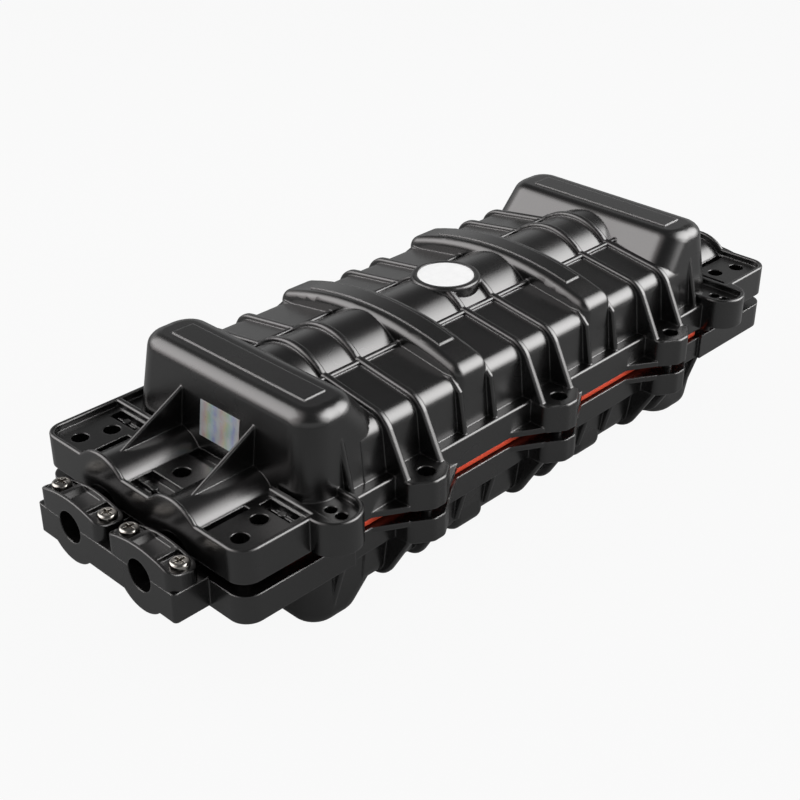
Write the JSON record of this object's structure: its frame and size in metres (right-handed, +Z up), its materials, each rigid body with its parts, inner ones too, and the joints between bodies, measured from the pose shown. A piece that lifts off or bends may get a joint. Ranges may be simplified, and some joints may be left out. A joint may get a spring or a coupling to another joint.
{
  "type": "fibre splice box",
  "caption": "Ribbed in-line fibre splice box: two bolted black plastic half shells with an orange seal, splice trays inside and screwed cable clamps at both ends.",
  "frame": {"origin": "middle of the box on the plane of its feet", "axes": "+X along the box towards its far pair of cable ports, +Y towards the side of the cover without ears, +Z up"},
  "size_m": [0.46, 0.1804, 0.1207],
  "materials": {
    "shell": "satin moulded black plastic",
    "seal": "matte orange-red rubber",
    "grommet": "matte black rubber",
    "dark_steel": "blackened steel",
    "brass": "plain brass",
    "bright_steel": "bright nickel plate",
    "badge": "plain white disc",
    "foil": "plain iridescent foil",
    "frame": "sheet metal",
    "tray": "satin off-white plastic",
    "comb": "satin blue plastic",
    "sleeve": "clear shrink sleeve",
    "lid": "smoky clear plastic",
    "strap": "woven hook and loop strap"
  },
  "bodies": {
    "base": {"lower_shell": "shell", "seal_strip": "seal", "port_grommets": "grommet", "cover_nuts": "brass", "tray_frame": "frame", "frame_screws": "bright_steel", "splice_tray_1": "tray", "splice_tray_2": "tray", "splice_tray_3": "tray", "splice_combs": "comb", "splice_sleeves": "sleeve", "tray_lid": "lid", "tray_strap": "strap", "strength_grips": "frame", "strength_screws": "bright_steel"},
    "cover": {"upper_shell": "shell", "badge_disc": "badge", "end_label": "foil", "cover_bolts": "dark_steel"},
    "clamp_far_left": {"clamp_cap_far_left": "shell", "clamp_screws_far_left": "bright_steel"},
    "clamp_far_right": {"clamp_cap_far_right": "shell", "clamp_screws_far_right": "bright_steel"},
    "clamp_near_left": {"clamp_cap_near_left": "shell", "clamp_screws_near_left": "bright_steel"},
    "clamp_near_right": {"clamp_cap_near_right": "shell", "clamp_screws_near_right": "bright_steel"}
  },
  "joints": [
    {"name": "cover_lift", "type": "slide", "parent": "base", "child": "cover", "axis": [0, 0, 1], "range_m": [0, 0.12]},
    {"name": "clamp_far_left_lift", "type": "slide", "parent": "base", "child": "clamp_far_left", "axis": [0, 0, 1], "range_m": [0, 0.02]},
    {"name": "clamp_far_right_lift", "type": "slide", "parent": "base", "child": "clamp_far_right", "axis": [0, 0, 1], "range_m": [0, 0.02]},
    {"name": "clamp_near_left_lift", "type": "slide", "parent": "base", "child": "clamp_near_left", "axis": [0, 0, 1], "range_m": [0, 0.02]},
    {"name": "clamp_near_right_lift", "type": "slide", "parent": "base", "child": "clamp_near_right", "axis": [0, 0, 1], "range_m": [0, 0.02]}
  ]
}
